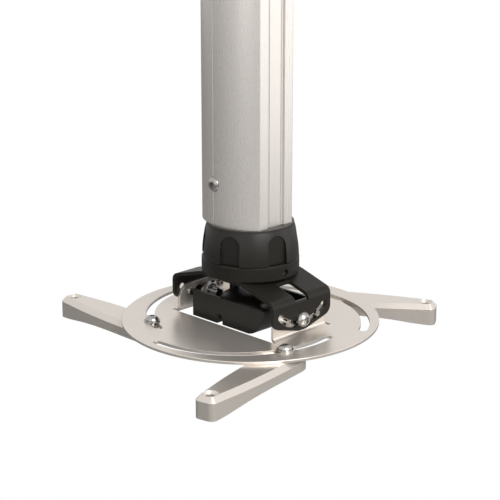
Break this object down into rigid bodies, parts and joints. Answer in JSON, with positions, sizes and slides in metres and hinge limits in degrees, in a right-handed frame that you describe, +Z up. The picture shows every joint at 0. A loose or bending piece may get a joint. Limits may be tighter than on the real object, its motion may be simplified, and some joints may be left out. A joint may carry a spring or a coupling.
{
  "type": "ceiling projector mount",
  "caption": "Ceiling mount for a projector: column with covered cable channels, swivel collar, tilting yoke and a slotted round plate with sliding, swinging support arms.",
  "frame": {"origin": "centre of the ceiling face of the ceiling plate, which is also the swivel axis", "axes": "+Z up, towards the ceiling; +X along the tilt axis, towards the front flange of the yoke"},
  "size_m": [0.2118, 0.2359, 0.3879],
  "materials": {
    "silver_paint": "satin",
    "column_aluminium": "satin",
    "black_paint": "satin",
    "black_plastic": "satin",
    "bright_steel": "bright"
  },
  "bodies": {
    "ceiling_side": {"ceiling_plate": "silver_paint", "ceiling_plate_screws": "bright_steel", "ceiling_plug": "black_plastic", "ceiling_screws": "bright_steel", "column": "column_aluminium", "cable_cover_front": "column_aluminium", "cable_cover_rear": "column_aluminium", "column_screws": "bright_steel", "column_plug": "black_plastic", "collar": "black_plastic", "swivel_bolt": "bright_steel", "swivel_washer": "bright_steel", "swivel_nut": "bright_steel"},
    "yoke_side": {"swivel_ring": "black_paint", "grub_screw": "bright_steel", "yoke": "black_paint", "yoke_screws": "bright_steel", "tilt_bolt_front": "bright_steel", "tilt_bolt_rear": "bright_steel", "tilt_washer_front": "bright_steel", "tilt_washer_rear": "bright_steel", "tilt_nut_front": "bright_steel", "tilt_nut_rear": "bright_steel", "cable_trough": "black_plastic", "trough_screws": "bright_steel"},
    "plate_side": {"interface_plate": "silver_paint", "guide_pins_front": "bright_steel", "guide_pins_rear": "bright_steel"},
    "slider_1": {"arm_screw_1": "bright_steel", "arm_washer_1": "bright_steel"},
    "swing_1": {"arm_1": "silver_paint", "arm_nut_1": "bright_steel"},
    "slider_2": {"arm_screw_2": "bright_steel", "arm_washer_2": "bright_steel"},
    "swing_2": {"arm_2": "silver_paint", "arm_nut_2": "bright_steel"},
    "slider_3": {"arm_screw_3": "bright_steel", "arm_washer_3": "bright_steel"},
    "swing_3": {"arm_3": "silver_paint", "arm_nut_3": "bright_steel"}
  },
  "joints": [
    {"name": "swivel", "type": "hinge", "parent": "ceiling_side", "child": "yoke_side", "pos_m": [0, 0, -0.3333], "axis": [0, 0, 1], "continuous": true},
    {"name": "tilt", "type": "hinge", "parent": "yoke_side", "child": "plate_side", "pos_m": [0, 0, -0.3369], "axis": [1, 0, 0], "range_deg": [-15, 15]},
    {"name": "arm_travel_1", "type": "hinge", "parent": "plate_side", "child": "slider_1", "pos_m": [-0.00536, -0.00693, -0.3714], "axis": [0, 0, 1], "range_deg": [-45, 29]},
    {"name": "arm_swing_1", "type": "hinge", "parent": "slider_1", "child": "swing_1", "pos_m": [0.0608, -0.0301, -0.3714], "axis": [0, 0, 1], "range_deg": [-15, 45]},
    {"name": "arm_travel_2", "type": "hinge", "parent": "plate_side", "child": "slider_2", "pos_m": [-0.00332, 0.0081, -0.3714], "axis": [0, 0, 1], "range_deg": [-45, 10]},
    {"name": "arm_swing_2", "type": "hinge", "parent": "slider_2", "child": "swing_2", "pos_m": [-0.03869, -0.05242, -0.3714], "axis": [0, 0, 1], "range_deg": [-15, 45]},
    {"name": "arm_travel_3", "type": "hinge", "parent": "plate_side", "child": "slider_3", "pos_m": [0.00868, -0.00117, -0.3714], "axis": [0, 0, 1], "range_deg": [-45, 25]},
    {"name": "arm_swing_3", "type": "hinge", "parent": "slider_3", "child": "swing_3", "pos_m": [-0.00911, 0.06663, -0.3714], "axis": [0, 0, 1], "range_deg": [-15, 45]}
  ]
}
